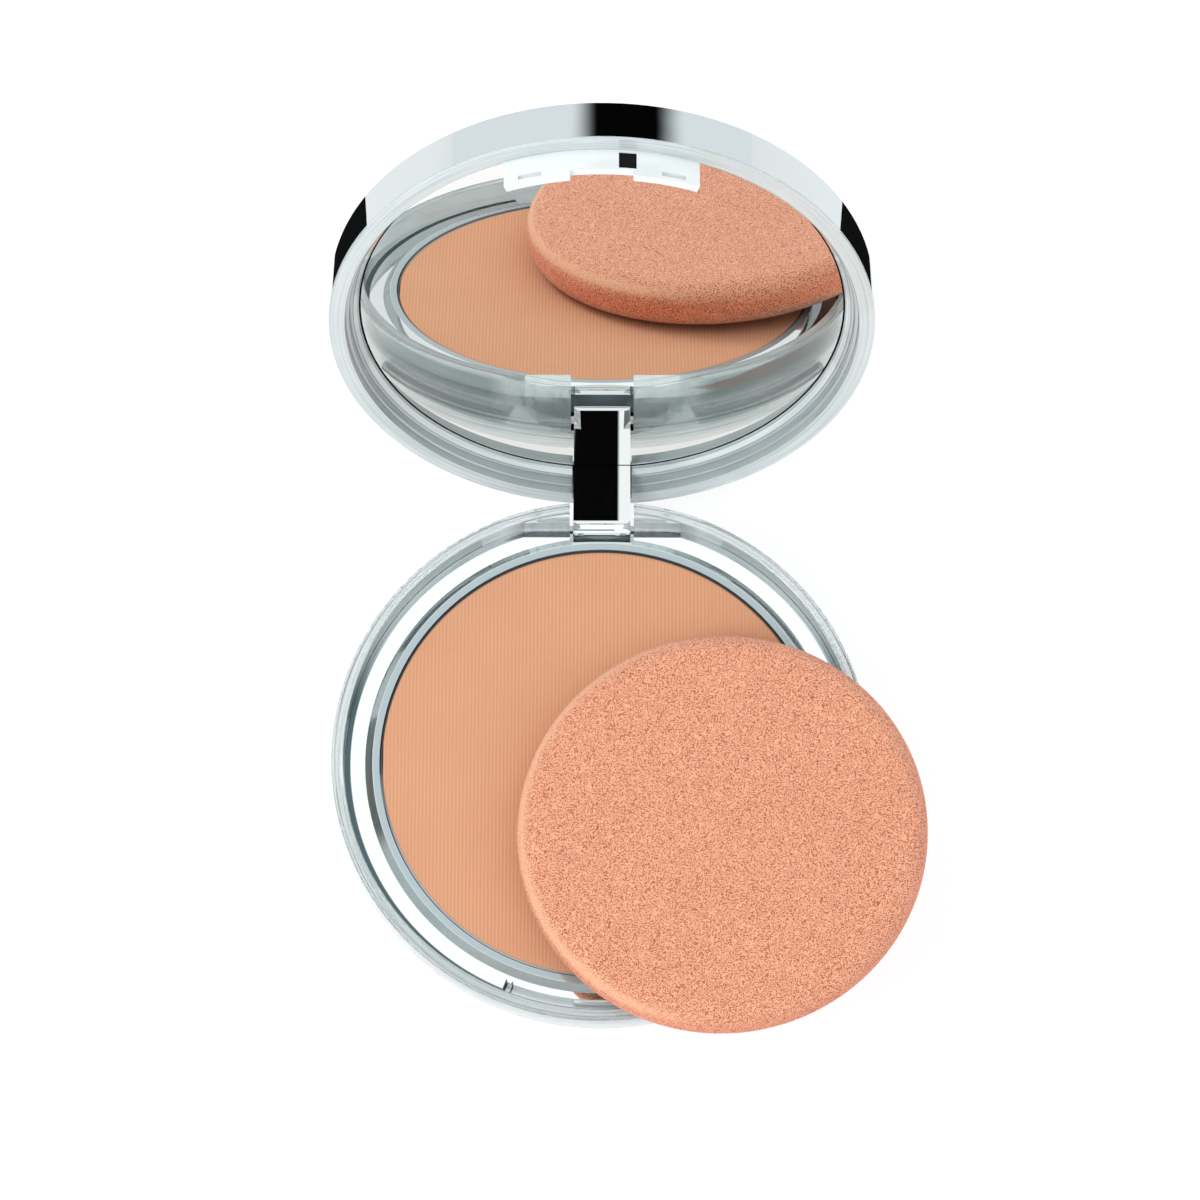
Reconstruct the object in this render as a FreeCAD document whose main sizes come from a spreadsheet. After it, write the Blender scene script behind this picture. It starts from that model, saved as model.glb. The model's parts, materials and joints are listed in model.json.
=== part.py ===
import FreeCAD, Part
import os
import re
import Sketcher

# Round powder compact, 80 mm across, with a mirror in its hinged lid and a foam puff.
# The origin is the centre of the flat underside: +Z up, +Y towards the hinge, -Y towards
# the latch. Every lid piece is drawn with the lid shut and then swung open about the
# hinge axis by its own Placement, because the part rests with its lid open.

DIMENSIONS = {
    # how far a cutting shape runs past the face that it opens
    "overrun": 1.0,
    # clear base shell
    "base_radius": 39.85,
    "base_height": 15.2,
    "foot_radius": 31.0,
    "belly_top": 11.0,
    "belly_radius": 11.26,
    "shell_wall": 1.75,
    "floor_thickness": 2.0,
    "rim_round": 0.35,
    # hinge
    "axis_y": 37.4,
    "axis_z": 8.06,
    "open_angle": 111.86,
    "block_half_width": 15.0,
    "block_front": 36.2,
    "block_bottom": 4.6,
    "slot_half_width": 4.8,
    "slot_bottom": 5.5,
    "relief_drop": 1.1,
    "barrel_radius": 2.2,
    "arm_half_width": 4.3,
    "arm_thickness": 2.0,
    "pin_radius": 0.6,
    "pin_clearance": 0.03,
    "pin_inner_end": 0.8,
    "pin_grip_start": 4.9,
    "pin_grip_end": 7.9,
    "pin_grip_radius": 0.75,
    "pin_tail_end": 9.7,
    "pin_tail_radius": 0.55,
    # bright inner bowl and pan tray
    "fit_gap": 0.05,
    "bowl_wall": 0.6,
    "bowl_top": 10.7,
    "tray_wall": 0.75,
    "well_radius": 32.85,
    "well_floor": 8.0,
    "lip_top": 12.65,
    "lip_outer": 33.9,
    "flange_inner": 35.0,
    "flange_top": 11.65,
    "flange_thickness": 0.9,
    "tray_notch_front": 34.1,
    # latch recess in the tray
    "recess_inner": 36.0,
    "recess_floor": 9.3,
    "recess_wall": 0.8,
    "recess_angle": 45.4,
    "nub_angle": 12.4,
    "nub_reach": 0.45,
    "nub_bottom": 10.2,
    "nub_height": 0.8,
    # pan and powder
    "tape_radius": 20.0,
    "tape_thickness": 0.2,
    "pan_radius": 32.7,
    "pan_wall": 0.25,
    "pan_height": 4.15,
    "powder_top": 12.45,
    "powder_bevel": 0.2,
    # lid
    "rim_plane": 15.3,
    "lid_radius": 40.0,
    "lid_top_radius": 39.88,
    "lid_top": 22.73,
    "lid_bevel": 0.35,
    "cap_wall": 0.9,
    "cap_roof": 1.08,
    "bezel_lip": 0.45,
    "mirror_plane": 19.05,
    "mirror_opening": 35.7,
    "mirror_radius": 36.65,
    "mirror_thickness": 1.5,
    "backing_thickness": 0.8,
    "lid_tape_radius": 30.0,
    "step_outer": 37.6,
    "step_middle": 37.0,
    "step_inner": 36.5,
    "step_outer_depth": 1.28,
    "step_inner_depth": 2.53,
    "arm_foot_back": 38.6,
    "arm_foot_bottom": 16.2,
    # catch tongue
    "tongue_inner": 36.6,
    "tongue_outer": 37.75,
    "tongue_angle": 42.9,
    "tongue_reach": 4.7,
    "tongue_cut_half_width": 4.45,
    "tongue_cut_depth": 1.0,
    "window_inner_end": 8.5,
    "window_outer_end": 11.8,
    "window_height": 0.8,
    "window_lift": 0.6,
    "snap_start": 2.4,
    "snap_width": 2.5,
    "snap_height": 3.0,
    "snap_drop": 0.3,
    "snap_pad_front": 37.6,
    # foam puff
    "puff_radius": 30.1,
    "puff_thickness": 7.3,
    "puff_round": 3.0,
    "puff_x": 17.72,
    "puff_y": -12.43,
    "puff_z": 18.5,
    "puff_heading": -35.0,
    "puff_tilt": 4.4,
}

doc = FreeCAD.newDocument("powder_compact")
sheet = doc.addObject("Spreadsheet::Sheet", "size")
for row, (alias, number) in enumerate(DIMENSIONS.items(), start=1):
    sheet.set("A%d" % row, alias)
    sheet.set("B%d" % row, str(number))
    sheet.setAlias("B%d" % row, alias)
doc.recompute()

sub_parts = []


def bound(text):
    """An expression on the sheet's aliases, as another object has to write it."""
    return re.sub(r"\b(?!sqrt)[a-z]\w*", r"size.\g<0>", str(text))


def value(text):
    """The number that an expression on the sheet's aliases gives now."""
    return float(sheet.evalExpression(bound(text)))


def keep(shape_object, name):
    """Take an object as the finished sub-part of this name."""
    shape_object.Label = name
    sub_parts.append(shape_object)
    return shape_object


def place_point(sketch, edge, across, up):
    """Bind the start point of an edge to its two distances from the sketch's origin."""
    for kind, text, axis in (("DistanceX", across, -2), ("DistanceY", up, -1)):
        if text == "0":
            sketch.addConstraint(Sketcher.Constraint("PointOnObject", edge, 1, axis))
            continue
        index = sketch.addConstraint(Sketcher.Constraint(kind, -1, 1, edge, 1, value(text)))
        sketch.setExpression("Constraints[%d]" % index, bound(text))


def outlined_body(name, role, corners):
    """A body with one closed outline on an origin plane. A corner is (across, up), or
    (across, up, radius) where the edge that leaves it is an arc that bends to the left."""
    body = doc.addObject("PartDesign::Body", name)
    sketch = body.newObject("Sketcher::SketchObject", name + "_outline")
    plane = [item for item in body.Origin.OriginFeatures if item.Role == role][0]
    sketch.AttachmentSupport = [(plane, "")]
    sketch.MapMode = "FlatFace"
    points = [FreeCAD.Vector(value(corner[0]), value(corner[1]), 0) for corner in corners]
    for index, corner in enumerate(corners):
        start = points[index]
        end = points[(index + 1) % len(points)]
        if len(corner) == 2:
            sketch.addGeometry(Part.LineSegment(start, end), False)
            continue
        radius = value(corner[2])
        chord = end - start
        left = FreeCAD.Vector(-chord.y, chord.x, 0).normalize()
        centre = (start + end) * 0.5 + left * (radius ** 2 - chord.Length ** 2 / 4) ** 0.5
        sketch.addGeometry(Part.Arc(start, centre - left * radius, end), False)
    for index, corner in enumerate(corners):
        following = (index + 1) % len(corners)
        sketch.addConstraint(Sketcher.Constraint("Coincident", index, 2, following, 1))
        place_point(sketch, index, corner[0], corner[1])
        if len(corner) == 3:
            mark = sketch.addConstraint(Sketcher.Constraint("Radius", index, value(corner[2])))
            sketch.setExpression("Constraints[%d]" % mark, bound(corner[2]))
    return body, sketch


def turned(name, corners):
    """A solid of revolution about the Z axis, from its half section."""
    body, sketch = outlined_body(name, "XZ_Plane", corners)
    feature = body.newObject("PartDesign::Revolution", name + "_turned")
    feature.Profile = sketch
    feature.ReferenceAxis = (sketch, ["V_Axis"])
    feature.Angle = 360
    return body


def front_sector(name, angle, inner, outer, bottom, top):
    """Part of a ring about the Z axis, centred on the front of the compact."""
    corners = [
        ("-(%s)" % outer, bottom),
        ("-(%s)" % inner, bottom),
        ("-(%s)" % inner, top),
        ("-(%s)" % outer, top),
    ]
    body, sketch = outlined_body(name, "YZ_Plane", corners)
    feature = body.newObject("PartDesign::Revolution", name + "_turned")
    feature.Profile = sketch
    feature.ReferenceAxis = (sketch, ["V_Axis"])
    feature.Midplane = True
    feature.setExpression("Angle", bound(angle))
    return body


def prism(name, corners, half_width):
    """An outline on the YZ plane, given the same width to both sides of it."""
    body, sketch = outlined_body(name, "YZ_Plane", corners)
    feature = body.newObject("PartDesign::Pad", name + "_pad")
    feature.Profile = sketch
    feature.Midplane = True
    feature.setExpression("Length", bound("2 * (%s)" % half_width))
    return body


def box(name, left, right, front, back, bottom, top):
    """A box given by its six limits."""
    solid = doc.addObject("Part::Box", name)
    limits = (("Length", "x", left, right), ("Width", "y", front, back),
              ("Height", "z", bottom, top))
    for side, axis, low, high in limits:
        solid.setExpression(side, bound("(%s) - (%s)" % (high, low)))
        solid.setExpression("Placement.Base." + axis, bound(low))
    return solid


def rod(name, radius, start, end):
    """A round rod along the hinge axis, from one X to another."""
    solid = doc.addObject("Part::Cylinder", name)
    turn = FreeCAD.Rotation(FreeCAD.Vector(0, 1, 0), 90)
    solid.Placement = FreeCAD.Placement(FreeCAD.Vector(0, 0, 0), turn)
    solid.setExpression("Radius", bound(radius))
    solid.setExpression("Height", bound("(%s) - (%s)" % (end, start)))
    solid.setExpression("Placement.Base.x", bound(start))
    solid.setExpression("Placement.Base.y", bound("axis_y"))
    solid.setExpression("Placement.Base.z", bound("axis_z"))
    return solid


def disc(name, radius, bottom, thickness):
    """A flat disc on the Z axis."""
    top = "(%s) + (%s)" % (bottom, thickness)
    return turned(name, [("0", bottom), (radius, bottom), (radius, top), ("0", top)])


def joined(name, solids):
    """Solids fused into one."""
    fusion = doc.addObject("Part::MultiFuse", name)
    fusion.Shapes = solids
    return fusion


def cut(name, solid, tools):
    """A solid with every tool taken away from it."""
    result = doc.addObject("Part::Cut", name)
    result.Base = solid
    result.Tool = tools[0] if len(tools) == 1 else joined(name + "_tools", tools)
    return result


def swing_open(lid_piece):
    """Swing a lid piece from shut to the open position that the part rests in."""
    axis_point = FreeCAD.Vector(0, value("axis_y"), value("axis_z"))
    turn = FreeCAD.Rotation(FreeCAD.Vector(1, 0, 0), -value("open_angle"))
    lid_piece.Placement = FreeCAD.Placement(FreeCAD.Vector(0, 0, 0), turn, axis_point)


# ---------------------------------------------------------------- base

INNER_RADIUS = "base_radius - shell_wall"


def rounded_bowl(name, gap, floor_line):
    """The inside of the shell as a solid, made smaller all round by a gap."""
    radius = "belly_radius - shell_wall - (%s)" % gap
    wall = INNER_RADIUS + " - (%s)" % gap
    # on the floor line, the arc about the belly's own centre has this radius
    rise = "(belly_top - (%s))" % floor_line
    reach = "sqrt((%s) ^ 2 - %s ^ 2)" % (radius, rise)
    foot = "base_radius - belly_radius + " + reach
    return turned(name, [
        ("0", floor_line),
        (foot, floor_line, radius),
        (wall, "belly_top"),
        (wall, "base_height + overrun"),
        ("0", "base_height + overrun"),
    ])


def make_base_shell():
    """Thick clear bowl with a rounded belly and a hinge block moulded into its back."""
    outside = turned("shell_outside", [
        ("0", "0"),
        ("foot_radius", "0", "belly_radius"),
        ("base_radius", "belly_top"),
        ("base_radius", "base_height - rim_round", "rim_round"),
        ("base_radius - rim_round", "base_height"),
        ("0", "base_height"),
    ])
    inside = rounded_bowl("shell_inside", "0", "floor_thickness")
    block = box("hinge_block", "-block_half_width", "block_half_width", "block_front",
                "base_radius + overrun", "block_bottom", "base_height + 2 * overrun")
    hollow = cut("shell_hollow", inside, [block])
    slot = box("arm_slot", "-slot_half_width", "slot_half_width", "block_front - overrun",
               "base_radius + overrun", "slot_bottom", "base_height + overrun")
    relief = prism("rear_relief", [
        ("block_front", "base_height"),
        ("base_radius + overrun", "base_height - relief_drop"),
        ("base_radius + overrun", "base_height + overrun"),
        ("block_front", "base_height + overrun"),
    ], "block_half_width")
    bores = []
    for side, sign in (("left", "-1"), ("right", "1")):
        bores += pin_rods("bore_" + side, sign, "slot_half_width")
    keep(cut("base_shell", outside, [hollow, slot, relief] + bores), "base_shell")


def pin_rods(name, sign, inner_end):
    """The gripped length and the tail of a hinge pin, with the shank between them and
    the given inner end, on the left (-1) or the right (1)."""
    lengths = (
        ("shank", "pin_radius", inner_end, "pin_grip_start"),
        ("grip", "pin_grip_radius", "pin_grip_start", "pin_grip_end"),
        ("tail", "pin_tail_radius", "pin_grip_end", "pin_tail_end"),
    )
    rods = []
    for part_name, radius, near, far in lengths:
        start, end = (near, far) if sign == "1" else ("-" + far, "-" + near)
        rods.append(rod(name + "_" + part_name, radius, start, end))
    return rods


def make_hinge_pins():
    """Two short stepped pins, each pressed into the block and running in the arm."""
    for side, sign in (("left", "-1"), ("right", "1")):
        name = "hinge_pin_" + side
        keep(joined(name, pin_rods(name, sign, "pin_inner_end")), name)


def make_inner_bowl():
    """Thin bright bowl that lines the clear shell and carries the tray's flange."""
    outside = rounded_bowl("bowl_outside", "fit_gap", "floor_thickness + fit_gap")
    inside = rounded_bowl("bowl_inside", "fit_gap + bowl_wall",
                          "floor_thickness + fit_gap + bowl_wall")
    above = box("above_bowl", "-base_radius", "base_radius", "-base_radius", "base_radius",
                "bowl_top", "base_height + 2 * overrun")
    back = box("bowl_back_opening", "-block_half_width - fit_gap",
               "block_half_width + fit_gap", "block_front - 4 * fit_gap", "base_radius",
               "block_bottom - fit_gap", "base_height")
    notch = box("bowl_arm_notch", "-slot_half_width", "slot_half_width", "tray_notch_front",
                "base_radius", "slot_bottom - fit_gap", "base_height")
    front = front_sector("bowl_front_opening", "recess_angle + 2", "recess_inner - recess_wall",
                         "base_radius", "recess_floor - recess_wall - fit_gap", "base_height")
    keep(cut("inner_bowl", outside, [inside, above, back, notch, front]), "inner_bowl")


def make_pan_tray():
    """Bright tray: a flange and a raised lip about a round well for the pan, with a
    recess at the front that takes the lid's catch tongue."""
    body = turned("tray_body", [
        ("0", "well_floor - tray_wall"),
        ("well_radius + tray_wall", "well_floor - tray_wall"),
        ("well_radius + tray_wall", "flange_top - flange_thickness"),
        (INNER_RADIUS + " - fit_gap", "flange_top - flange_thickness"),
        (INNER_RADIUS + " - fit_gap", "flange_top"),
        ("flange_inner", "flange_top"),
        ("lip_outer", "lip_top"),
        ("well_radius", "lip_top"),
        ("well_radius", "well_floor"),
        ("0", "well_floor"),
    ])
    trough_outer = INNER_RADIUS + " - 9 * fit_gap"
    trough = front_sector("recess_trough", "recess_angle + 1", "recess_inner - recess_wall",
                          trough_outer, "recess_floor - recess_wall", "flange_top")
    opening = front_sector("recess_opening", "recess_angle", "recess_inner", "base_radius",
                           "recess_floor", "flange_top + overrun")
    back = box("tray_back_cut", "-block_half_width - fit_gap", "block_half_width + fit_gap",
               "block_front - 4 * fit_gap", "base_radius", "0", "base_height")
    notch = box("tray_arm_notch", "-slot_half_width", "slot_half_width", "tray_notch_front",
                "base_radius", "0", "base_height")
    nub = front_sector("catch_nub", "nub_angle", "recess_inner - fit_gap",
                       "recess_inner + nub_reach", "nub_bottom", "nub_bottom + nub_height")
    tray = cut("tray_cut", joined("tray_joined", [body, trough]), [opening, back, notch])
    keep(joined("pan_tray", [tray, nub]), "pan_tray")


def make_pan_and_powder():
    """Pressed powder in a thin metal pan, held down by a disc of tape."""
    keep(disc("pan_tape", "tape_radius", "well_floor", "tape_thickness"), "pan_tape")
    bottom = "(well_floor + tape_thickness)"
    top = bottom + " + pan_height"
    keep(turned("powder_pan", [
        ("0", bottom),
        ("pan_radius", bottom),
        ("pan_radius", top),
        ("pan_radius - pan_wall", top),
        ("pan_radius - pan_wall", bottom + " + pan_wall"),
        ("0", bottom + " + pan_wall"),
    ]), "powder_pan")
    keep(turned("powder_cake", [
        ("0", bottom + " + pan_wall"),
        ("pan_radius - pan_wall", bottom + " + pan_wall"),
        ("pan_radius - pan_wall", "powder_top - powder_bevel"),
        ("pan_radius - pan_wall - powder_bevel", "powder_top"),
        ("0", "powder_top"),
    ]), "powder_cake")


# ---------------------------------------------------------------- lid, drawn shut

BEZEL_FLANGE_TOP = "rim_plane + bezel_lip"
LID_INSIDE = "lid_radius - cap_wall"


def make_lid_cap():
    """Bright round cap with a flat roof, a slight draft and a bevelled top edge."""
    cap = turned("lid_cap", [
        (LID_INSIDE, BEZEL_FLANGE_TOP),
        ("lid_radius", BEZEL_FLANGE_TOP),
        ("lid_top_radius", "lid_top - lid_bevel"),
        ("lid_top_radius - lid_bevel", "lid_top"),
        ("0", "lid_top"),
        ("0", "lid_top - cap_roof"),
        (LID_INSIDE, "lid_top - cap_roof"),
    ])
    swing_open(keep(cap, "lid_cap"))


def make_lid_bezel():
    """Clear stepped ring that frames the mirror, with openings for the arm and tongue."""
    slot = "mirror_radius + 2 * fit_gap"
    ring = turned("bezel_ring", [
        ("step_outer", "rim_plane"),
        ("lid_radius - fit_gap", "rim_plane"),
        ("lid_radius - fit_gap", BEZEL_FLANGE_TOP),
        (LID_INSIDE + " - fit_gap", BEZEL_FLANGE_TOP),
        (LID_INSIDE + " - fit_gap", "lid_top - cap_roof - fit_gap"),
        (slot, "lid_top - cap_roof - fit_gap"),
        (slot, "mirror_plane"),
        ("mirror_opening", "mirror_plane"),
        ("mirror_opening", "mirror_plane - 4 * fit_gap"),
        ("step_inner", "rim_plane + step_inner_depth"),
        ("step_middle", "rim_plane + step_inner_depth"),
        ("step_middle", "rim_plane + step_outer_depth"),
        ("step_outer", "rim_plane + step_outer_depth"),
    ])
    arm_way = box("arm_way", "-arm_half_width - 4 * fit_gap", "arm_half_width + 4 * fit_gap",
                  "axis_y - barrel_radius - overrun", "arm_foot_back + fit_gap",
                  "rim_plane - overrun", "lid_top")
    tongue_way = front_sector("tongue_way", "tongue_angle + 0.5", "mirror_opening - overrun",
                              "tongue_outer + fit_gap", "rim_plane - overrun",
                              "mirror_plane - 3 * fit_gap")
    swing_open(keep(cut("lid_bezel", ring, [arm_way, tongue_way]), "lid_bezel"))


def make_mirror_stack():
    """The mirror, its tape and the stiff disc behind them."""
    back = "(mirror_plane + mirror_thickness)"
    pieces = (
        ("mirror", "mirror_radius", "mirror_plane", "mirror_thickness"),
        ("mirror_tape", "lid_tape_radius", back, "tape_thickness"),
        ("mirror_backing", "mirror_radius", back + " + tape_thickness", "backing_thickness"),
    )
    for name, radius, bottom, thickness in pieces:
        swing_open(keep(disc(name, radius, bottom, thickness), name))


def make_hinge_arm():
    """Bright flat arm: a foot behind the mirror's edge, a plate past the rim and a
    barrel that turns on the two pins."""
    front = "axis_y - barrel_radius"
    plate = box("arm_plate", "-arm_half_width", "arm_half_width", front,
                front + " + arm_thickness", "axis_z", "mirror_plane - 2 * fit_gap")
    foot = box("arm_foot", "-arm_half_width", "arm_half_width", front + " + arm_thickness",
               "arm_foot_back", "arm_foot_bottom", "mirror_plane - 2 * fit_gap")
    barrel = rod("arm_barrel", "barrel_radius", "-arm_half_width", "arm_half_width")
    bore = rod("arm_bore", "pin_radius + pin_clearance", "-arm_half_width - overrun",
               "arm_half_width + overrun")
    arm = cut("hinge_arm", joined("arm_solid", [plate, foot, barrel]), [bore])
    swing_open(keep(arm, "hinge_arm"))


def make_catch_tongue():
    """Curved tongue that drops into the tray's recess. Its edge is cut back in the middle,
    and it has a small window near each end and a snap window filled by a dark pad."""
    tip = "(rim_plane - tongue_reach)"
    snap_bottom = tip + " + tongue_cut_depth + snap_drop"
    blade = front_sector("tongue_blade", "tongue_angle", "tongue_inner", "tongue_outer", tip,
                         "mirror_plane - 4 * fit_gap")
    openings = [
        box("tongue_cut", "-tongue_cut_half_width", "tongue_cut_half_width",
            "-base_radius", "0", tip + " - overrun", tip + " + tongue_cut_depth"),
        box("window_left", "-window_outer_end", "-window_inner_end", "-base_radius", "0",
            tip + " + window_lift", tip + " + window_lift + window_height"),
        box("window_right", "window_inner_end", "window_outer_end", "-base_radius", "0",
            tip + " + window_lift", tip + " + window_lift + window_height"),
        box("snap_window", "snap_start", "snap_start + snap_width", "-base_radius", "0",
            snap_bottom, snap_bottom + " + snap_height"),
    ]
    swing_open(keep(cut("catch_tongue", blade, openings), "catch_tongue"))
    strip = front_sector("pad_strip", "tongue_angle", "tongue_inner", "snap_pad_front",
                         snap_bottom, snap_bottom + " + snap_height")
    trims = [
        box("pad_left", "-base_radius", "snap_start", "-base_radius", "0",
            snap_bottom + " - overrun", snap_bottom + " + snap_height + overrun"),
        box("pad_right", "snap_start + snap_width", "base_radius", "-base_radius", "0",
            snap_bottom + " - overrun", snap_bottom + " + snap_height + overrun"),
    ]
    swing_open(keep(cut("snap_pad", strip, trims), "snap_pad"))


# ---------------------------------------------------------------- puff

def make_puff():
    """Round foam puff that leans on the powder and on the front rim."""
    half = "puff_thickness / 2"
    body = turned("puff", [
        ("0", "-" + half),
        ("puff_radius - puff_round", "-" + half, "puff_round"),
        ("puff_radius", "puff_round - " + half),
        ("puff_radius", half + " - puff_round", "puff_round"),
        ("puff_radius - puff_round", half),
        ("0", half),
    ])
    heading = FreeCAD.Rotation(FreeCAD.Vector(0, 0, 1), value("puff_heading"))
    lean = FreeCAD.Rotation(FreeCAD.Vector(0, 1, 0), -value("puff_tilt"))
    centre = FreeCAD.Vector(value("puff_x"), value("puff_y"), value("puff_z"))
    body.Placement = FreeCAD.Placement(centre, heading * lean)
    keep(body, "puff")


make_base_shell()
make_hinge_pins()
make_inner_bowl()
make_pan_tray()
make_pan_and_powder()
make_lid_cap()
make_lid_bezel()
make_mirror_stack()
make_hinge_arm()
make_catch_tongue()
make_puff()
doc.recompute()

for item in doc.Objects:
    if "Invalid" in item.State or "Error" in item.State:
        raise RuntimeError("%s was not built: %s" % (item.Name, item.State))
for item in sub_parts:
    if item.Shape.isNull() or not item.Shape.isValid() or not item.Shape.Solids:
        raise RuntimeError("%s has no valid shape" % item.Label)

os.makedirs("parts", exist_ok=True)
for item in sub_parts:
    item.Shape.exportStep("parts/%s.step" % item.Label)
    print("%-16s %d solid  %9.2f mm3" % (item.Label, len(item.Shape.Solids), item.Shape.Volume))
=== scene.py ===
import json
import math

import bpy
from mathutils import Matrix, Vector, noise


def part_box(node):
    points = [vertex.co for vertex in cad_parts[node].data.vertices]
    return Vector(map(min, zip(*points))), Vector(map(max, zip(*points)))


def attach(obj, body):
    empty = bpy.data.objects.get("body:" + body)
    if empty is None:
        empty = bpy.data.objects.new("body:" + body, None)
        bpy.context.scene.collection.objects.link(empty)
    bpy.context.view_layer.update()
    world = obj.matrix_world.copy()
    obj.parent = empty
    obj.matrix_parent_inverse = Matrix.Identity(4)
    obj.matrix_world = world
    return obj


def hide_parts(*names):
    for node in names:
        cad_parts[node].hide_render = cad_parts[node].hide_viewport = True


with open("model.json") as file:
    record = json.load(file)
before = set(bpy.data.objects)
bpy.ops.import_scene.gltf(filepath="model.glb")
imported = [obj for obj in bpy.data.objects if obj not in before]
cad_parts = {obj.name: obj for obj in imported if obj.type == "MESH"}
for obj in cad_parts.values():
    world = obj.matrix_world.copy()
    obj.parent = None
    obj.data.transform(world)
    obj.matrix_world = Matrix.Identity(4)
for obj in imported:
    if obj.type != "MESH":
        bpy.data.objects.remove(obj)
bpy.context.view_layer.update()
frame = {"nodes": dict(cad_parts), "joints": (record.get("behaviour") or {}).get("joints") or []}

MM = 0.001
NODES = frame["nodes"]

# ------------------------------------------------------------------ places in the frame

powder_low, powder_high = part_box("powder_cake")
puff_low, puff_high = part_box("puff")
mirror_low, mirror_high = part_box("mirror")
POWDER_TOP = powder_high.z
POWDER_RADIUS = powder_high.x
HINGE = [joint for joint in frame["joints"] if joint["name"] == "lid_hinge"][0]
OPEN_ANGLE = math.radians(HINGE["range_deg"][1])
BASE_AXIS = ((0.0, 0.0, 0.0), (0.0, 0.0, 1.0))
LID_AXIS = (tuple((mirror_low + mirror_high) / 2),
            (0.0, math.sin(OPEN_ANGLE), math.cos(OPEN_ANGLE)))


# ------------------------------------------------------------------ small helpers

def new_object(name, verts, faces):
    """A smooth-shaded mesh object from vertices (metres) and faces."""
    mesh = bpy.data.meshes.new(name)
    mesh.from_pydata([tuple(v) for v in verts], [], faces)
    mesh.update()
    mesh.shade_smooth()
    obj = bpy.data.objects.new(name, mesh)
    bpy.context.scene.collection.objects.link(obj)
    return obj


class Nodes:
    """Short ways to add and join shader nodes in one material or world tree."""

    def __init__(self, tree):
        self.tree = tree
        tree.nodes.clear()

    def add(self, kind, **settings):
        node = self.tree.nodes.new(kind)
        for key, setting in settings.items():
            setattr(node, key, setting)
        return node

    def link(self, source, target):
        self.tree.links.new(source, target)

    def math(self, operation, first, second=None):
        node = self.add("ShaderNodeMath", operation=operation)
        for index, item in enumerate((first, second)):
            if item is None:
                continue
            if isinstance(item, (int, float)):
                node.inputs[index].default_value = item
            else:
                self.link(item, node.inputs[index])
        return node.outputs[0]

    def ramp(self, source, low, high, to_low=0.0, to_high=1.0, smooth=False):
        node = self.add("ShaderNodeMapRange", clamp=True)
        node.interpolation_type = "SMOOTHSTEP" if smooth else "LINEAR"
        self.link(source, node.inputs["Value"])
        node.inputs["From Min"].default_value = low
        node.inputs["From Max"].default_value = high
        node.inputs["To Min"].default_value = to_low
        node.inputs["To Max"].default_value = to_high
        return node.outputs["Result"]

    def above(self, source, limits):
        """From 0 to 1 between two limits, given in millimetres."""
        low, high = limits
        return self.ramp(source, low * MM, high * MM)

    def below(self, source, limits, peak=1.0):
        """From peak to 0 between two limits, given in millimetres."""
        low, high = limits
        return self.ramp(source, low * MM, high * MM, peak, 0.0)

    def fade_in(self, source, limits, peak=1.0):
        """Smoothly from 0 to peak between two limits, given in millimetres."""
        low, high = limits
        return self.ramp(source, low * MM, high * MM, 0.0, peak, smooth=True)

    def fade_out(self, source, limits, peak=1.0):
        """Smoothly from peak to 0 between two limits, given in millimetres."""
        low, high = limits
        return self.ramp(source, low * MM, high * MM, peak, 0.0, smooth=True)

    def split(self, vector):
        """The x, y and z of a vector."""
        node = self.add("ShaderNodeSeparateXYZ")
        self.link(vector, node.inputs[0])
        return node.outputs

    def product(self, *factors):
        """Two or more values multiplied together."""
        result = factors[0]
        for factor in factors[1:]:
            result = self.math("MULTIPLY", result, factor)
        return result

    def noise(self, vector, scale, detail=3.0, roughness=0.55):
        node = self.add("ShaderNodeTexNoise")
        self.link(vector, node.inputs["Vector"])
        node.inputs["Scale"].default_value = scale
        node.inputs["Detail"].default_value = detail
        node.inputs["Roughness"].default_value = roughness
        return node.outputs["Fac"]

    def pulse(self, source, centre, half_width, soft):
        """1 within half_width of centre, falling to 0 over soft on each side."""
        apart = self.math("ABSOLUTE", self.math("SUBTRACT", source, centre))
        return self.ramp(apart, half_width, half_width + soft, 1.0, 0.0)

    def radius(self, place, centre=(0.0, 0.0, 0.0), normal=(0.0, 0.0, 1.0)):
        """Distance from the axis through centre along normal."""
        offset = self.add("ShaderNodeVectorMath", operation="SUBTRACT")
        self.link(place, offset.inputs[0])
        offset.inputs[1].default_value = centre
        across = self.add("ShaderNodeVectorMath", operation="CROSS_PRODUCT")
        self.link(offset.outputs[0], across.inputs[0])
        across.inputs[1].default_value = normal
        length = self.add("ShaderNodeVectorMath", operation="LENGTH")
        self.link(across.outputs[0], length.inputs[0])
        return length.outputs["Value"]

    def mix(self, factor, first, second):
        node = self.add("ShaderNodeMix", data_type="RGBA")
        self.link(factor, node.inputs["Factor"])
        for socket, item in ((node.inputs["A"], first), (node.inputs["B"], second)):
            if isinstance(item, tuple):
                socket.default_value = (*item, 1.0)
            else:
                self.link(item, socket)
        return node.outputs["Result"]

    def bump(self, height, strength, distance):
        node = self.add("ShaderNodeBump")
        node.inputs["Strength"].default_value = strength
        node.inputs["Distance"].default_value = distance
        self.link(height, node.inputs["Height"])
        return node.outputs["Normal"]


def new_material(name):
    """A material with a Principled shader, and the object's own coordinates in metres."""
    material = bpy.data.materials.new(name)
    material.use_nodes = True
    nodes = Nodes(material.node_tree)
    output = nodes.add("ShaderNodeOutputMaterial")
    shader = nodes.add("ShaderNodeBsdfPrincipled")
    nodes.link(shader.outputs["BSDF"], output.inputs["Surface"])
    place = nodes.add("ShaderNodeTexCoord").outputs["Object"]
    return material, nodes, shader, place


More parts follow.
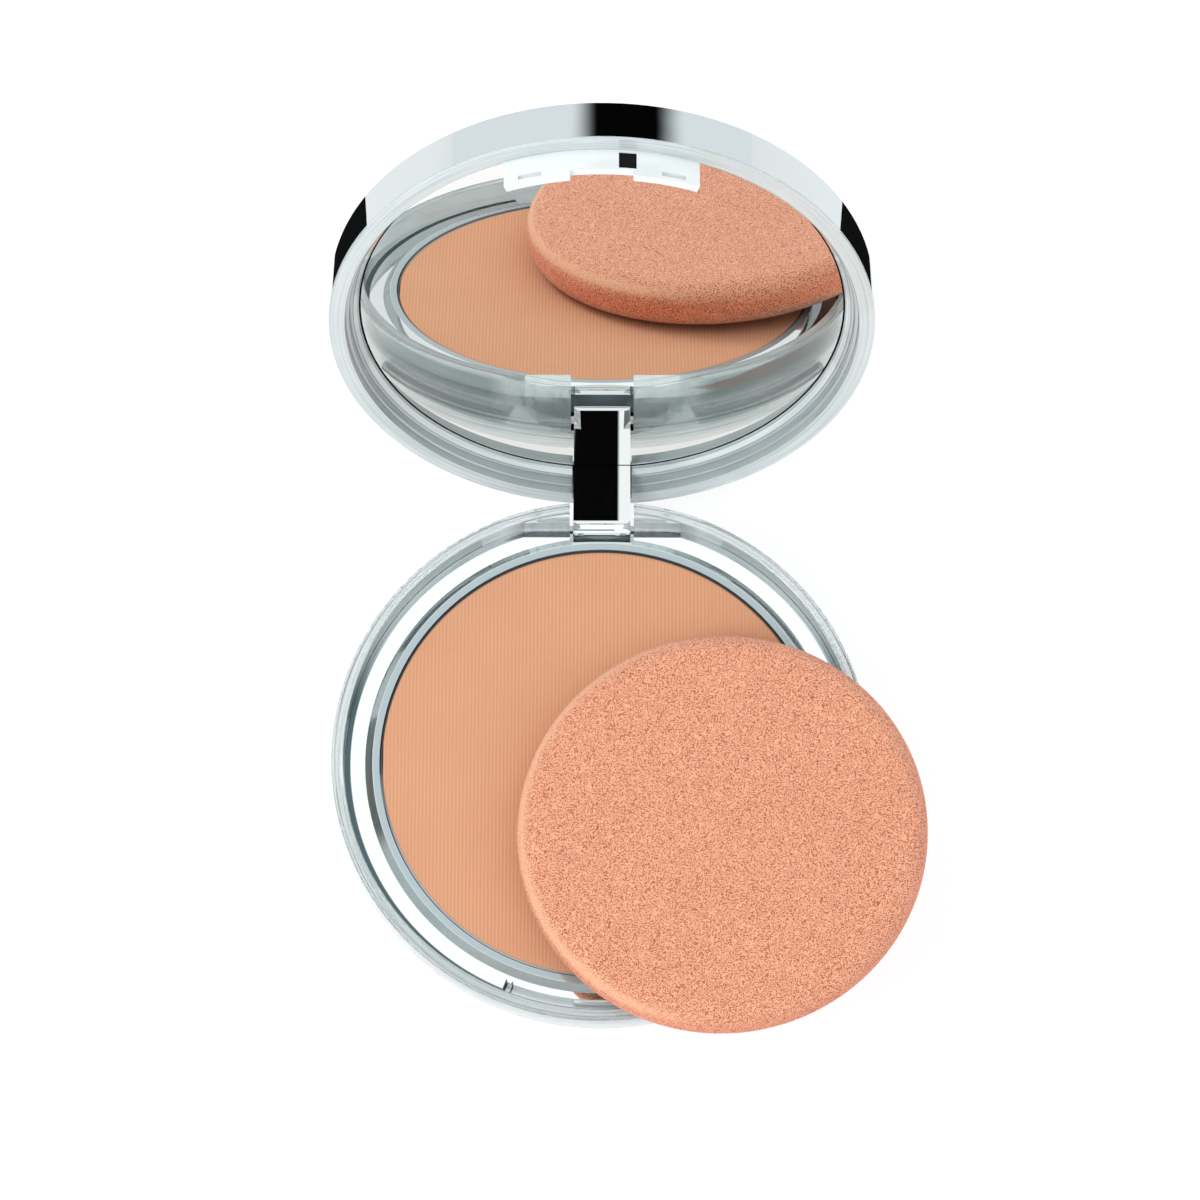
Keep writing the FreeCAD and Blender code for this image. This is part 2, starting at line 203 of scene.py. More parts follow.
def set_values(shader, **values):
    """Set the shader's own sockets; an underscore in a name stands for a space."""
    for key, setting in values.items():
        shader.inputs[key.replace("_", " ")].default_value = setting


# ------------------------------------------------------------------ materials

# radii from the base's or the lid's axis
LIP_EDGE = 33.9 * MM
GAP_EDGE = 37.15 * MM
MIRROR_RIM = 35.40 * MM
RECESS_EDGE = 37.45 * MM
# the next two are the radii of the painted shade lines at the steps' edges
SHELL_EDGES = (38.12 * MM, 39.3 * MM)
BEZEL_EDGES = (35.8 * MM, 36.5 * MM, 37.0 * MM, 37.6 * MM)
# headings from the front, in degrees, of the painted shade lines at an end of the recess, and
# its own end
RECESS_LINES = (21.1, 22.6)
RECESS_END = (22.8, 22.9)
# soft limits in the tray and the pan, in millimetres: the top of the painted gap shade, the
# rear half, the recess's floor and its walls by height, and how far out its painted shade lines
# and its walls start
GAP_TOP = (11.0, 11.3)
TRAY_REAR = (8.0, 27.0)
PAN_REAR = (-20.0, 4.0)
RECESS_FLOOR, RECESS_CORNER, RECESS_TOP = (9.6, 10.2), (9.6, 10.6), (11.5, 11.6)
LINE_START, WALL_START = (35.6, 35.8), (35.85, 35.95)
# the streaks in the clear plastic: how fast they vary across the ring, and along X and Y
STREAK_SCALES = (4200.0, 55.0, 55.0)
# the painted shade on the rear of the shell, in millimetres: where it fades in from the hinge
# block (X) and towards the rear (Y), its two bands by height (Z), and where its outer wall starts
BESIDE_BLOCK = (13.0, 18.0)
TOWARDS_REAR = (8.0, 28.0)
BELLY_RISE, BELLY_FALL = (1.5, 7.0), (7.0, 11.0)
UPPER_RISE, UPPER_FALL = (9.5, 12.0), (14.3, 15.0)
OUTER_WALL = (39.4, 39.6)
BELLY_SHARE = 0.3


def metallised_material(name, colour, tint, rough, rough_spread):
    """Bright metal film on plastic: clear reflections, faint haze and mould ripple."""
    material, nodes, shader, place = new_material(name)
    set_values(shader, Metallic=1.0)
    haze = nodes.noise(place, 240.0, detail=4.0)
    nodes.link(nodes.mix(haze, colour, tint), shader.inputs["Base Color"])
    nodes.link(nodes.ramp(haze, 0.3, 0.8, rough, rough + rough_spread),
               shader.inputs["Roughness"])
    ripple = nodes.noise(place, 60.0, detail=2.0)
    nodes.link(nodes.bump(ripple, 0.02, 0.0002), shader.inputs["Normal"])
    return material


def painted_rear_shade(nodes, x, y, z, radius, depth):
    """The painted shade on the shell beside its hinge block: a faint band on its belly, and one
    of the given depth on its outer wall."""
    rear = nodes.product(nodes.fade_in(nodes.math("ABSOLUTE", x), BESIDE_BLOCK),
                         nodes.fade_in(y, TOWARDS_REAR))
    belly = nodes.product(nodes.fade_in(z, BELLY_RISE),
                          nodes.fade_out(z, BELLY_FALL, BELLY_SHARE * depth))
    upper = nodes.product(nodes.fade_in(z, UPPER_RISE), nodes.fade_out(z, UPPER_FALL, depth),
                          nodes.above(radius, OUTER_WALL))
    return nodes.product(rear, nodes.math("MAXIMUM", belly, upper))


def clear_material(name, share, rough, dark, light, coat, axis, edges, depth=0.0):
    """Moulded clear plastic: share is how much of it lets light straight through, and edges
    are the radii about axis (a point and a direction) where a painted shade line marks a step's
    edge.
    Depth is how dark the rear of the shell is, beside its hinge block."""
    material, nodes, shader, place = new_material(name)
    set_values(shader, IOR=1.36, Transmission_Weight=share, Coat_Weight=coat,
               Coat_Roughness=0.03)
    cloud = nodes.noise(place, 90.0, detail=3.0)
    colour = nodes.mix(nodes.ramp(cloud, 0.35, 0.65), dark, light)
    # painted shade: the colour darkens where the clear plastic is seen edge-on
    facing = nodes.add("ShaderNodeLayerWeight")
    facing.inputs["Blend"].default_value = 0.35
    graze_shade = nodes.ramp(facing.outputs["Facing"], 0.55, 1.0, 0.0, 0.55, smooth=True)
    colour = nodes.mix(graze_shade, colour, (0.38, 0.46, 0.47))
    radius = nodes.radius(place, *axis)
    x, y, z = nodes.split(place)
    turned = nodes.add("ShaderNodeCombineXYZ")
    for index, source in enumerate((radius, x, y)):
        nodes.link(nodes.product(source, STREAK_SCALES[index]), turned.inputs[index])
    streak = nodes.ramp(nodes.noise(turned.outputs[0], 1.0, detail=2.0), 0.44, 0.62, 0.0, 0.50)
    colour = nodes.mix(streak, colour, (0.50, 0.61, 0.62))
    # painted shade: thin dark lines at the edges of the steps
    for edge in edges:
        line = nodes.product(nodes.pulse(radius, edge, 0.05 * MM, 0.07 * MM), 0.55)
        colour = nodes.mix(line, colour, (0.16, 0.22, 0.23))
    # painted shade on the shell's rear, for the dark surroundings its clear walls show
    if depth:
        shade = painted_rear_shade(nodes, x, y, z, radius, depth)
        colour = nodes.mix(shade, colour, (0.07, 0.13, 0.14))
    nodes.link(colour, shader.inputs["Base Color"])
    nodes.link(nodes.ramp(cloud, 0.3, 0.8, rough, rough + 0.03), shader.inputs["Roughness"])
    return material


def arm_material(colour, crown_radius):
    """The hinge arm's bright film, on a face that is slightly crowned from side to side."""
    material, nodes, shader, place = new_material("bright_arm")
    set_values(shader, Metallic=1.0)
    haze = nodes.noise(place, 240.0, detail=4.0)
    nodes.link(nodes.mix(haze, colour, tuple(0.96 * part for part in colour)),
               shader.inputs["Base Color"])
    nodes.link(nodes.ramp(haze, 0.3, 0.8, 0.01, 0.03), shader.inputs["Roughness"])
    x = nodes.split(place)["X"]
    crown = nodes.product(x, x, -0.5 / crown_radius)
    nodes.link(nodes.bump(crown, 1.0, 1.0), shader.inputs["Normal"])
    return material


def tray_material():
    """Silvery glossy moulding. Its lip round the powder is a duller blue-grey, the gap
    outside its flange is painted dark teal as shade, lighter at the rear, and thin painted shade
    lines mark the edges of its recess."""
    material, nodes, shader, place = new_material("silver_tray")
    haze = nodes.noise(place, 240.0, detail=4.0)
    silver = nodes.mix(haze, (0.84, 0.87, 0.875), (0.80, 0.84, 0.85))
    x, y, z = nodes.split(place)
    radius = nodes.radius(place)
    lip = nodes.ramp(radius, LIP_EDGE - 0.15 * MM, LIP_EDGE + 0.05 * MM, 1.0, 0.0)
    # painted shade in the gap outside the flange: dark teal, lighter towards the rear
    gap = nodes.product(nodes.ramp(radius, GAP_EDGE - 0.05 * MM, GAP_EDGE + 0.1 * MM),
                        nodes.above(z, GAP_TOP))
    colour = nodes.mix(lip, silver, (0.38, 0.45, 0.47))
    shade = nodes.mix(nodes.fade_in(y, TRAY_REAR), (0.075, 0.115, 0.12), (0.66, 0.72, 0.72))
    colour = nodes.mix(gap, colour, shade)
    heading = nodes.math("ABSOLUTE", nodes.math("ARCTAN2", x, nodes.product(y, -1.0)))
    # painted shade: thin dark lines at the end of the recess
    for turn in RECESS_LINES:
        line = nodes.pulse(heading, math.radians(turn), math.radians(0.10), math.radians(0.12))
        line = nodes.product(line, nodes.above(radius, LINE_START))
        colour = nodes.mix(line, colour, (0.03, 0.05, 0.055))
    first, last = (math.radians(turn) for turn in RECESS_END)
    wall = nodes.product(nodes.ramp(heading, first, last, 1.0, 0.0),
                         nodes.above(radius, WALL_START), nodes.below(z, RECESS_TOP))
    recess = nodes.math("MAXIMUM", nodes.below(z, RECESS_FLOOR), wall)
    # painted shade in the recess along its outer edge, low down
    corner_shade = nodes.product(nodes.pulse(radius, RECESS_EDGE, 0.07 * MM, 0.08 * MM),
                           nodes.below(z, RECESS_CORNER, 0.8))
    colour = nodes.mix(corner_shade, colour, (0.05, 0.08, 0.085))
    nodes.link(colour, shader.inputs["Base Color"])
    dull = nodes.math("MAXIMUM", lip, recess)
    nodes.link(nodes.ramp(dull, 0.0, 1.0, 1.0, 0.35), shader.inputs["Metallic"])
    nodes.link(nodes.ramp(haze, 0.3, 0.8, 0.02, 0.05), shader.inputs["Roughness"])
    return material


def gloss_material(name, colour, other, rough):
    """Opaque glossy moulding."""
    material, nodes, shader, place = new_material(name)
    mottle = nodes.noise(place, 300.0, detail=4.0)
    nodes.link(nodes.mix(mottle, colour, other), shader.inputs["Base Color"])
    nodes.link(nodes.ramp(mottle, 0.3, 0.7, rough, rough + 0.05), shader.inputs["Roughness"])
    set_values(shader, Coat_Weight=0.6, Coat_Roughness=0.04)
    nodes.link(nodes.bump(mottle, 0.02, 0.0001), shader.inputs["Normal"])
    return material


def mirror_material(axis):
    """Silvered glass: near-perfect reflection, a breath of haze and a thin dark rim where
    the silver ends."""
    material, nodes, shader, place = new_material("mirror_glass")
    set_values(shader, Metallic=1.0)
    haze = nodes.noise(place, 120.0, detail=5.0)
    silver = nodes.mix(haze, (0.865, 0.865, 0.845), (0.895, 0.895, 0.875))
    rim = nodes.ramp(nodes.radius(place, *axis), MIRROR_RIM - 0.03 * MM,
                     MIRROR_RIM + 0.03 * MM)
    nodes.link(nodes.mix(rim, silver, (0.006, 0.010, 0.012)), shader.inputs["Base Color"])
    nodes.link(nodes.ramp(haze, 0.4, 0.9, 0.0, 0.015), shader.inputs["Roughness"])
    return material


def powder_material():
    """Pressed powder: tan, matte, with a fine grain and rib valleys painted slightly darker as
    shade.
    """
    material, nodes, shader, place = new_material("powder")
    grain = nodes.noise(place, 9000.0, detail=2.0)
    cloud = nodes.noise(place, 70.0, detail=4.0)
    tone = nodes.math("ADD", nodes.product(grain, 0.45), nodes.product(cloud, 0.55))
    tan = nodes.mix(nodes.ramp(tone, 0.35, 0.65), (0.615, 0.312, 0.182), (0.683, 0.356, 0.210))
    z = nodes.split(place)["Z"]
    # painted shade: the rib valleys are darker
    valley_shade = nodes.ramp(z, POWDER_TOP - RIB_DEPTH, POWDER_TOP)
    nodes.link(nodes.mix(valley_shade, (0.577, 0.282, 0.162), tan), shader.inputs["Base Color"])
    set_values(shader, Roughness=0.88, Sheen_Weight=0.08, Sheen_Roughness=0.5,
               Specular_IOR_Level=0.18)
    nodes.link(nodes.bump(grain, 0.25, 0.00005), shader.inputs["Normal"])
    return material


def foam_material():
    """Open-cell foam: peach, matte, with pits between its cells painted dark as shade, a smoother
    skin round the upper edge, partly a painted highlight, and sides painted deeper orange as
    shade."""
    material, nodes, shader, place = new_material("foam")
    skin = nodes.add("ShaderNodeAttribute", attribute_name="skin").outputs["Fac"]
    side = nodes.add("ShaderNodeAttribute", attribute_name="side").outputs["Fac"]
    open_cell = nodes.math("SUBTRACT", 1.0, skin)
    worm = nodes.noise(place, 5500.0, detail=1.0, roughness=0.5)
    grain = nodes.noise(place, 9500.0, detail=1.0, roughness=0.5)
    cloud = nodes.noise(place, 120.0, detail=3.0)
    mixed = nodes.math("ADD", nodes.product(worm, 0.8), nodes.product(grain, 0.2))
    # painted shade: the pits between the cells are darkened
    pit = nodes.ramp(mixed, 0.415, 0.515, 1.0, 0.0, smooth=True)
    pit = nodes.product(pit, nodes.math("MAXIMUM", open_cell, 0.35))
    top = nodes.mix(cloud, (0.820, 0.390, 0.243), (0.870, 0.428, 0.273))
    # painted shade: the sides are a deeper orange, standing for foam in shade
    body = nodes.mix(side, top, (0.940, 0.315, 0.160))
    # partly painted highlight: the skin is lighter on the left edge, where the light falls
    peach = nodes.mix(skin, body, (0.840, 0.465, 0.285))
    nodes.link(nodes.mix(pit, peach, (0.400, 0.100, 0.045)), shader.inputs["Base Color"])
    set_values(shader, Roughness=0.85, Sheen_Weight=0.2, Sheen_Roughness=0.6,
               Subsurface_Weight=0.10, Subsurface_Scale=0.0012, Specular_IOR_Level=0.15)
    nodes.link(nodes.bump(nodes.math("SUBTRACT", mixed, pit), 0.5, 0.00018),
               shader.inputs["Normal"])
    return material


def pan_material():
    """Dull pan rim, dark where the lip shades it at the rear and greyer at the front."""
    material, nodes, shader, place = new_material("pan_metal")
    mottle = nodes.noise(place, 500.0, detail=4.0)
    toward_rear = nodes.fade_in(nodes.split(place)["Y"], PAN_REAR)
    grey = nodes.mix(mottle, (0.34, 0.40, 0.43), (0.38, 0.44, 0.47))
    nodes.link(nodes.mix(toward_rear, grey, (0.035, 0.040, 0.042)),
               shader.inputs["Base Color"])
    set_values(shader, Metallic=0.5)
    nodes.link(nodes.ramp(mottle, 0.3, 0.7, 0.35, 0.45), shader.inputs["Roughness"])
    return material


def plain_material(name, colour, other, rough, scale, metallic=0.0, shine=0.5):
    """A simple mottled finish for pieces that hardly show."""
    material, nodes, shader, place = new_material(name)
    set_values(shader, Metallic=metallic, Specular_IOR_Level=shine)
    mottle = nodes.noise(place, scale, detail=4.0)
    nodes.link(nodes.mix(mottle, colour, other), shader.inputs["Base Color"])
    nodes.link(nodes.ramp(mottle, 0.3, 0.7, rough - 0.05, rough + 0.05),
               shader.inputs["Roughness"])
    nodes.link(nodes.bump(mottle, 0.08, 0.0001), shader.inputs["Normal"])
    return material


# ------------------------------------------------------------------ powder

RIB_PITCH = 0.543 * MM
RIB_DEPTH = 0.03 * MM
COLUMNS_PER_RIB = 6
POWDER_ROWS = 48
CRUMB_HEIGHT = 0.012 * MM
CRUMB_SCALES = (9000, 1800)   # finer across the ribs than along them
STRIP_REACH = 0.998           # how far out the strips go, as a share of the radius
BEVEL_WIDTH = 0.25 * MM
BEVEL_DROP = 0.12 * MM


def make_powder():
    """Pressed powder with fine ribs along Y, as a closed disc of many thin strips."""
    across, along = CRUMB_SCALES
    step = RIB_PITCH / COLUMNS_PER_RIB
    count = int(POWDER_RADIUS * STRIP_REACH / step)
    rows = POWDER_ROWS
    verts = []
    faces = []
    xs = [index * step for index in range(-count, count + 1)]
    for x in xs:
        half = math.sqrt(max(POWDER_RADIUS ** 2 - x ** 2, 1e-12))
        for row in range(rows + 1):
            t = -math.cos(math.pi * row / rows)
            y = half * t
            inset = POWDER_RADIUS - math.hypot(x, y)
            wave = 0.5 + 0.5 * math.cos(2 * math.pi * x / RIB_PITCH)
            drop = RIB_DEPTH * (1 - wave)
            crumb = CRUMB_HEIGHT * noise.noise(Vector((x * across, y * along, 0.0)))
            bevel = BEVEL_DROP * max(0.0, 1 - inset / BEVEL_WIDTH) ** 2
            verts.append((x, y, POWDER_TOP - drop + min(crumb, 0.0) - bevel))
    for column in range(len(xs) - 1):
        for row in range(rows):
            a = column * (rows + 1) + row
            b = a + rows + 1
            faces.append((a, b, b + 1, a + 1))
    # a skirt closes the disc: the rim goes down to the underside, and a face closes that
    top_count = len(verts)
    ring = [column * (rows + 1) for column in range(len(xs))]
    ring += [(len(xs) - 1) * (rows + 1) + row for row in range(1, rows + 1)]
    ring += [column * (rows + 1) + rows for column in range(len(xs) - 2, -1, -1)]
    ring += list(range(rows - 1, 0, -1))
    for index in ring:
        x, y = verts[index][:2]
        verts.append((x, y, powder_low.z))
    total = len(ring)
    for index in range(total):
        after = (index + 1) % total
        faces.append((ring[after], ring[index], top_count + index, top_count + after))
    faces.append([top_count + index for index in range(total - 1, -1, -1)])
    obj = new_object("powder_ribbed", verts, faces)
    obj.data.set_sharp_from_angle(angle=math.radians(50))
    return obj


# ------------------------------------------------------------------ puff

# the radius is a hair under the CAD puff's, because this one is rounder than its facets
PUFF_RADIUS = 30.08 * MM
PUFF_THICKNESS = 7.3 * MM
PUFF_ROUND = 3.0 * MM
PUFF_FLAT = PUFF_RADIUS - PUFF_ROUND
PUFF_HEADING = math.radians(-35.0)
PUFF_TILT = math.radians(4.4)
PIT_DEPTH = 0.16 * MM
CELL_SCALE, FINE_SCALE = 3000, 4200
SKIN_TILT, SKIN_SPREAD = 0.62, 0.30   # the rise of the normal where the skin is, and its reach
SKIN_MOST = 0.7
FLAT_RINGS = 120
ROUND_STEPS = 24
SEGMENTS = 720


def puff_profile():
    """The half section of the puff, as (radius, height) from its top to its bottom."""
    half = PUFF_THICKNESS / 2
    profile = [(PUFF_FLAT * index / FLAT_RINGS, half) for index in range(FLAT_RINGS)]
    for index in range(ROUND_STEPS + 1):
        angle = math.pi / 2 * (1 - index / ROUND_STEPS)
        profile.append((PUFF_FLAT + PUFF_ROUND * math.cos(angle),
                        half - PUFF_ROUND + PUFF_ROUND * math.sin(angle)))
    return profile + [(r, -z) for r, z in reversed(profile)]


def lathe(profile):
    """The vertices and faces of a profile turned about Z. Its ends lie on the axis."""
    verts = [(0.0, 0.0, profile[0][1])]
    for r, z in profile[1:-1]:
        for step in range(SEGMENTS):
            angle = 2 * math.pi * step / SEGMENTS
            verts.append((r * math.cos(angle), r * math.sin(angle), z))
    verts.append((0.0, 0.0, profile[-1][1]))
    faces = []
    last = 1 + (len(profile) - 3) * SEGMENTS
    for step in range(SEGMENTS):
        after = (step + 1) % SEGMENTS
        faces.append((0, 1 + step, 1 + after))
        faces.append((len(verts) - 1, last + after, last + step))
    for ring in range(len(profile) - 3):
        a = 1 + ring * SEGMENTS
        b = a + SEGMENTS
        for step in range(SEGMENTS):
            after = (step + 1) % SEGMENTS
            faces.append((a + step, b + step, b + after, a + after))
    return verts, faces


def make_puff():
    """Round foam puff, lathed with a rounded edge and pitted all over with fine pores."""
    verts, faces = lathe(puff_profile())
    heading = Matrix.Rotation(PUFF_HEADING, 4, "Z")
    pitted = []
    skins = []
    sides = []
    for x, y, z in verts:
        point = Vector((x, y, z))
        normal = Vector((0, 0, math.copysign(1.0, z)))
        if math.hypot(x, y) > PUFF_FLAT:
            centre = Vector((x, y, 0)).normalized() * PUFF_FLAT
            centre.z = math.copysign(PUFF_THICKNESS / 2 - PUFF_ROUND, z)
            normal = (point - centre).normalized()
        # the skin is a smoother band on the upper edge, and only on the left, where it is also
        # painted lighter as a highlight
        skin = max(0.0, 1.0 - abs(normal.z - SKIN_TILT) / SKIN_SPREAD) if z > 0 else 0.0
        toward_left = -(heading @ Vector((x, y, 0.0))).x / PUFF_RADIUS
        skin = min(SKIN_MOST, 1.15 * skin) * min(1.0, max(0.0, 2.5 * toward_left - 0.1))
        cell = noise.noise(point * CELL_SCALE)
        fine = noise.noise(point * FINE_SCALE)
        depth = PIT_DEPTH * max(0.0, cell * 0.9 + 0.6 * fine - 0.05) * (1.0 - 0.8 * skin)
        pitted.append(point - normal * depth)
        skins.append(skin)
        # how far a point faces sideways, for the painted shade on the sides
        sides.append((1.0 - abs(normal.z)) ** 2)
    obj = new_object("foam_puff", pitted, faces)
    for name, amounts in (("skin", skins), ("side", sides)):
        attribute = obj.data.attributes.new(name, "FLOAT", "POINT")
        attribute.data.foreach_set("value", amounts)
    lean = Matrix.Rotation(-PUFF_TILT, 4, "Y")
    centre = (puff_low + puff_high) / 2
    obj.data.transform(Matrix.Translation(centre) @ heading @ lean)
    return obj


# ------------------------------------------------------------------ stage

SKY_LOW = 1.00
SKY_HIGH = 1.25
SKY_BRIGHTER = (25, 70)   # the heights between which the sky gets brighter, in degrees
SKY_COLOUR = (0.965, 0.99, 1.0, 1.0)
FLOOR_GLOW = 0.82
FLOOR_HALF = 3.0
# the dark areas of the sky, in degrees: (from, to, softness) by two angles each
BACK_DARK = ((-6, 21, 4.5), (2, 40, 3.0))
LEFT_DARK = ((-96, -50, 4.0), (-6, 14, 3.0))
FRONT_DARK = ((-32, 11, 1.0), (104, 112, 0.8))
DARKNESS = 0.998
# the black cards on the floor: the height and the left, right, front and back limits of the
# flat ones; the height, radii and headings from +X, in degrees, of the curved ones, which are
# a painted shadow for the floor's shade beside the base
CARD_HEIGHT = 1.0 * MM
LEFT_CARD = (-130.0 * MM, -50.0 * MM, 50.0 * MM, 117.0 * MM)
RIGHT_CARD = (50.0 * MM, 130.0 * MM, 50.0 * MM, 113.0 * MM)
CURVED_HEIGHT = 0.2 * MM
CURVED_RADII = (40.5 * MM, 49.0 * MM)
CURVED_RIGHT = (14.0, 64.0)
CURVED_LEFT = (116.0, 166.0)
CURVED_STEPS = 24


def make_floor():
    """A pale lit table, so that hardly any shadow shows on it."""
    half = FLOOR_HALF
    verts = [(-half, -half, 0), (half, -half, 0), (half, half, 0), (-half, half, 0)]
    floor = new_object("floor", verts, [(0, 1, 2, 3)])
    material, nodes, shader, place = new_material("floor")
    speck = nodes.noise(place, 30.0)
    nodes.link(nodes.mix(speck, (0.21, 0.21, 0.21), (0.23, 0.23, 0.23)),
               shader.inputs["Base Color"])
    set_values(shader, Roughness=0.9, Emission_Color=(1.0, 1.0, 1.0, 1.0),
               Emission_Strength=FLOOR_GLOW, Specular_IOR_Level=0.0)
    floor.data.materials.append(material)


def make_world():
    """A pale studio, brightest overhead, with three dark areas for the reflections: one
    behind the compact, one low on its left and one in front. The camera itself sees a plain
    pale sky."""
    world = bpy.data.worlds.new("studio")
    bpy.context.scene.world = world
    world.use_nodes = True
    nodes = Nodes(world.node_tree)
    output = nodes.add("ShaderNodeOutputWorld")
    background = nodes.add("ShaderNodeBackground")
    nodes.link(background.outputs[0], output.inputs["Surface"])
    x, y, z = nodes.split(nodes.add("ShaderNodeTexCoord").outputs["Generated"])
    azimuth = nodes.math("ARCTAN2", x, y)
    height = nodes.math("ARCSINE", z)
    lean = nodes.math("ARCSINE", x)
    pitch = nodes.math("ARCTAN2", z, y)

    def band(source, low, high, soft):
        rise = nodes.ramp(source, math.radians(low - soft), math.radians(low + soft), smooth=True)
        fall = nodes.ramp(source, math.radians(high - soft), math.radians(high + soft),
                          1.0, 0.0, smooth=True)
        return nodes.product(rise, fall)

    dark = 0.0
    for angles, limits in (((azimuth, height), BACK_DARK), ((azimuth, height), LEFT_DARK),
                           ((lean, pitch), FRONT_DARK)):
        area = nodes.product(*(band(angle, *limit) for angle, limit in zip(angles, limits)))
        dark = nodes.math("MAXIMUM", dark, area)
    first, last = (math.radians(angle) for angle in SKY_BRIGHTER)
    overhead = nodes.ramp(height, first, last, SKY_LOW, SKY_HIGH, smooth=True)
    lit = nodes.math("SUBTRACT", 1.0, nodes.product(dark, DARKNESS))
    seen = nodes.add("ShaderNodeLightPath").outputs["Is Camera Ray"]
    glow = nodes.math("MAXIMUM", nodes.product(overhead, lit), seen)
    nodes.link(glow, background.inputs["Strength"])
    background.inputs["Color"].default_value = SKY_COLOUR


def make_card(name, verts, faces):
    """A black card low behind the compact that only reflections see."""
    card = new_object(name, verts, faces)
    material, nodes, shader, place = new_material(name)
    fleck = nodes.noise(place, 200.0)
    nodes.link(nodes.mix(fleck, (0.004, 0.004, 0.004), (0.008, 0.008, 0.008)),
               shader.inputs["Base Color"])
    set_values(shader, Roughness=1.0, Specular_IOR_Level=0.0)
    card.data.materials.append(material)
    card.visible_camera = False
    card.visible_shadow = False
    card.visible_diffuse = False


def flat_card(left, right, front, back):
    """The mesh of a flat card, given by its four limits."""
    corners = ((left, front), (right, front), (right, back), (left, back))
    return [(x, y, CARD_HEIGHT) for x, y in corners], [(0, 1, 2, 3)]


def floor_shade_strip(first, last):
    """The mesh of a black strip that curves round beside the base, between two headings: a
    painted shadow for the floor's shade there.
    """
    verts = []
    for index in range(CURVED_STEPS + 1):
        angle = math.radians(first + (last - first) * index / CURVED_STEPS)
        for radius in CURVED_RADII:
            verts.append((radius * math.cos(angle), radius * math.sin(angle), CURVED_HEIGHT))
    faces = [(2 * k, 2 * k + 1, 2 * k + 3, 2 * k + 2) for k in range(CURVED_STEPS)]
    return verts, faces


def make_light(name, place, target, size, power):
    """A white disc light that reflections don't see."""
    light = bpy.data.lights.new(name, "AREA")
    light.shape = "DISK"
    light.size = size
    light.energy = power
    obj = bpy.data.objects.new(name, light)
    obj.location = place
    aim = Vector(target) - Vector(place)
    obj.rotation_euler = aim.to_track_quat("-Z", "Y").to_euler()
    obj.visible_glossy = False
    bpy.context.scene.collection.objects.link(obj)


CAMERA_PLACE = Vector((1.59, -207.34, 768.17)) * MM
CAMERA_LENS = 158.61
SENSOR_WIDTH = 36.0
CAMERA_ANGLES = (72.91, -0.45, -0.31)   # elevation, yaw and roll, in degrees


def make_camera():
    """The camera looks down steeply from the front, almost square on to the hinge."""
    camera = bpy.data.cameras.new("camera")
    camera.sensor_width = SENSOR_WIDTH
    camera.lens = CAMERA_LENS
    camera.clip_start = 0.01
    camera.clip_end = 20.0
    obj = bpy.data.objects.new("camera", camera)
    elevation, yaw, roll = (math.radians(angle) for angle in CAMERA_ANGLES)
    forward = Vector((math.sin(yaw) * math.cos(elevation),
                      math.cos(yaw) * math.cos(elevation), -math.sin(elevation)))
    level = Vector((math.cos(yaw), -math.sin(yaw), 0.0))
    upright = level.cross(forward)
    right = level * math.cos(roll) + upright * math.sin(roll)
    up = upright * math.cos(roll) - level * math.sin(roll)
    matrix = Matrix((right, up, -forward)).transposed().to_4x4()
    matrix.translation = CAMERA_PLACE
    obj.matrix_world = matrix
    bpy.context.scene.collection.objects.link(obj)
    bpy.context.scene.camera = obj


# ------------------------------------------------------------------ put together

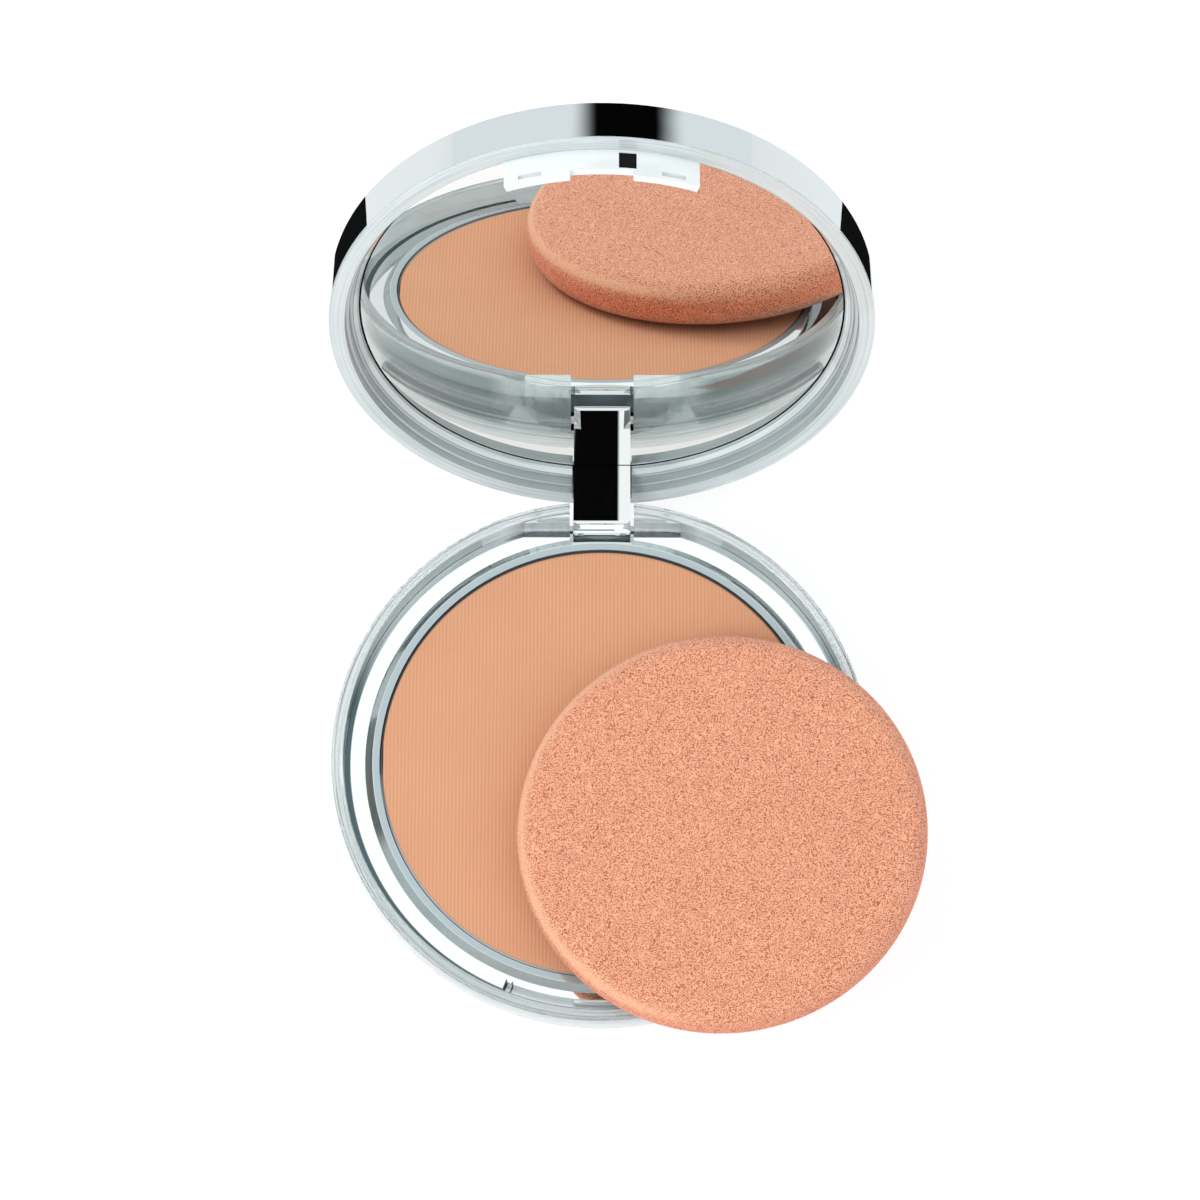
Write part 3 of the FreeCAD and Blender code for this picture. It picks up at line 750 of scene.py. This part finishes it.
BRIGHT = metallised_material("bright_metallised", colour=(0.695, 0.740, 0.750),
                             tint=(0.670, 0.720, 0.730), rough=0.015, rough_spread=0.02)
TRAY = tray_material()
ARM = arm_material(colour=(0.84, 0.86, 0.865), crown_radius=20.0 * MM)
CLEAR = clear_material("clear_shell", share=0.72, rough=0.03, dark=(0.90, 0.97, 0.97),
                       light=(0.93, 0.99, 0.99), coat=0.6, axis=BASE_AXIS,
                       edges=SHELL_EDGES, depth=0.65)
BEZEL = clear_material("clear_bezel", share=0.32, rough=0.05, dark=(0.86, 0.925, 0.935),
                       light=(0.91, 0.965, 0.975), coat=0.9, axis=LID_AXIS,
                       edges=BEZEL_EDGES)
MIRROR = mirror_material(LID_AXIS)
WHITE = gloss_material("gloss_white", colour=(0.76, 0.80, 0.81), other=(0.82, 0.855, 0.86),
                       rough=0.06)
RUBBER = plain_material("black_rubber", colour=(0.004, 0.004, 0.005),
                        other=(0.009, 0.009, 0.010), rough=0.55, scale=900.0, shine=0.08)
STEEL = plain_material("steel_pin", colour=(0.60, 0.61, 0.62), other=(0.66, 0.67, 0.68),
                       rough=0.28, scale=900.0, metallic=1.0)
PAN = pan_material()
TAPE = plain_material("tape", colour=(0.80, 0.80, 0.76), other=(0.86, 0.86, 0.83),
                      rough=0.60, scale=400.0)
BACKING = plain_material("backing", colour=(0.68, 0.69, 0.69), other=(0.74, 0.75, 0.75),
                         rough=0.50, scale=300.0)

NODE_MATERIALS = {
    "base_shell": CLEAR,
    "lid_bezel": BEZEL,
    "inner_bowl": BRIGHT,
    "pan_tray": TRAY,
    "lid_cap": BRIGHT,
    "hinge_arm": ARM,
    "catch_tongue": WHITE,
    "snap_pad": RUBBER,
    "hinge_pin_left": STEEL,
    "hinge_pin_right": STEEL,
    "powder_pan": PAN,
    "pan_tape": TAPE,
    "mirror_tape": TAPE,
    "mirror": MIRROR,
    "mirror_backing": BACKING,
}
for node_name, node_material in NODE_MATERIALS.items():
    node = NODES[node_name]
    node.data.materials.clear()
    node.data.materials.append(node_material)
    node.data.shade_smooth()
    node.data.set_sharp_from_angle(angle=math.radians(25))

powder = make_powder()
powder.data.materials.append(powder_material())
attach(powder, "base")
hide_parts("powder_cake")

puff = make_puff()
puff.data.materials.append(foam_material())
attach(puff, "puff")
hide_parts("puff")

make_floor()
make_world()
make_card("flag_left", *flat_card(*LEFT_CARD))
make_card("flag_right", *flat_card(*RIGHT_CARD))
# painted shadow: black strips beside the base stand for the floor's shade there
make_card("floor_shade_right", *floor_shade_strip(*CURVED_RIGHT))
make_card("floor_shade_left", *floor_shade_strip(*CURVED_LEFT))
make_light("key", place=(-0.8, -0.35, 1.0), target=(0.0, 0.0, 0.0), size=0.6, power=7.0)
make_camera()

scene = bpy.context.scene
scene.view_settings.view_transform = "Standard"
scene.view_settings.look = "None"
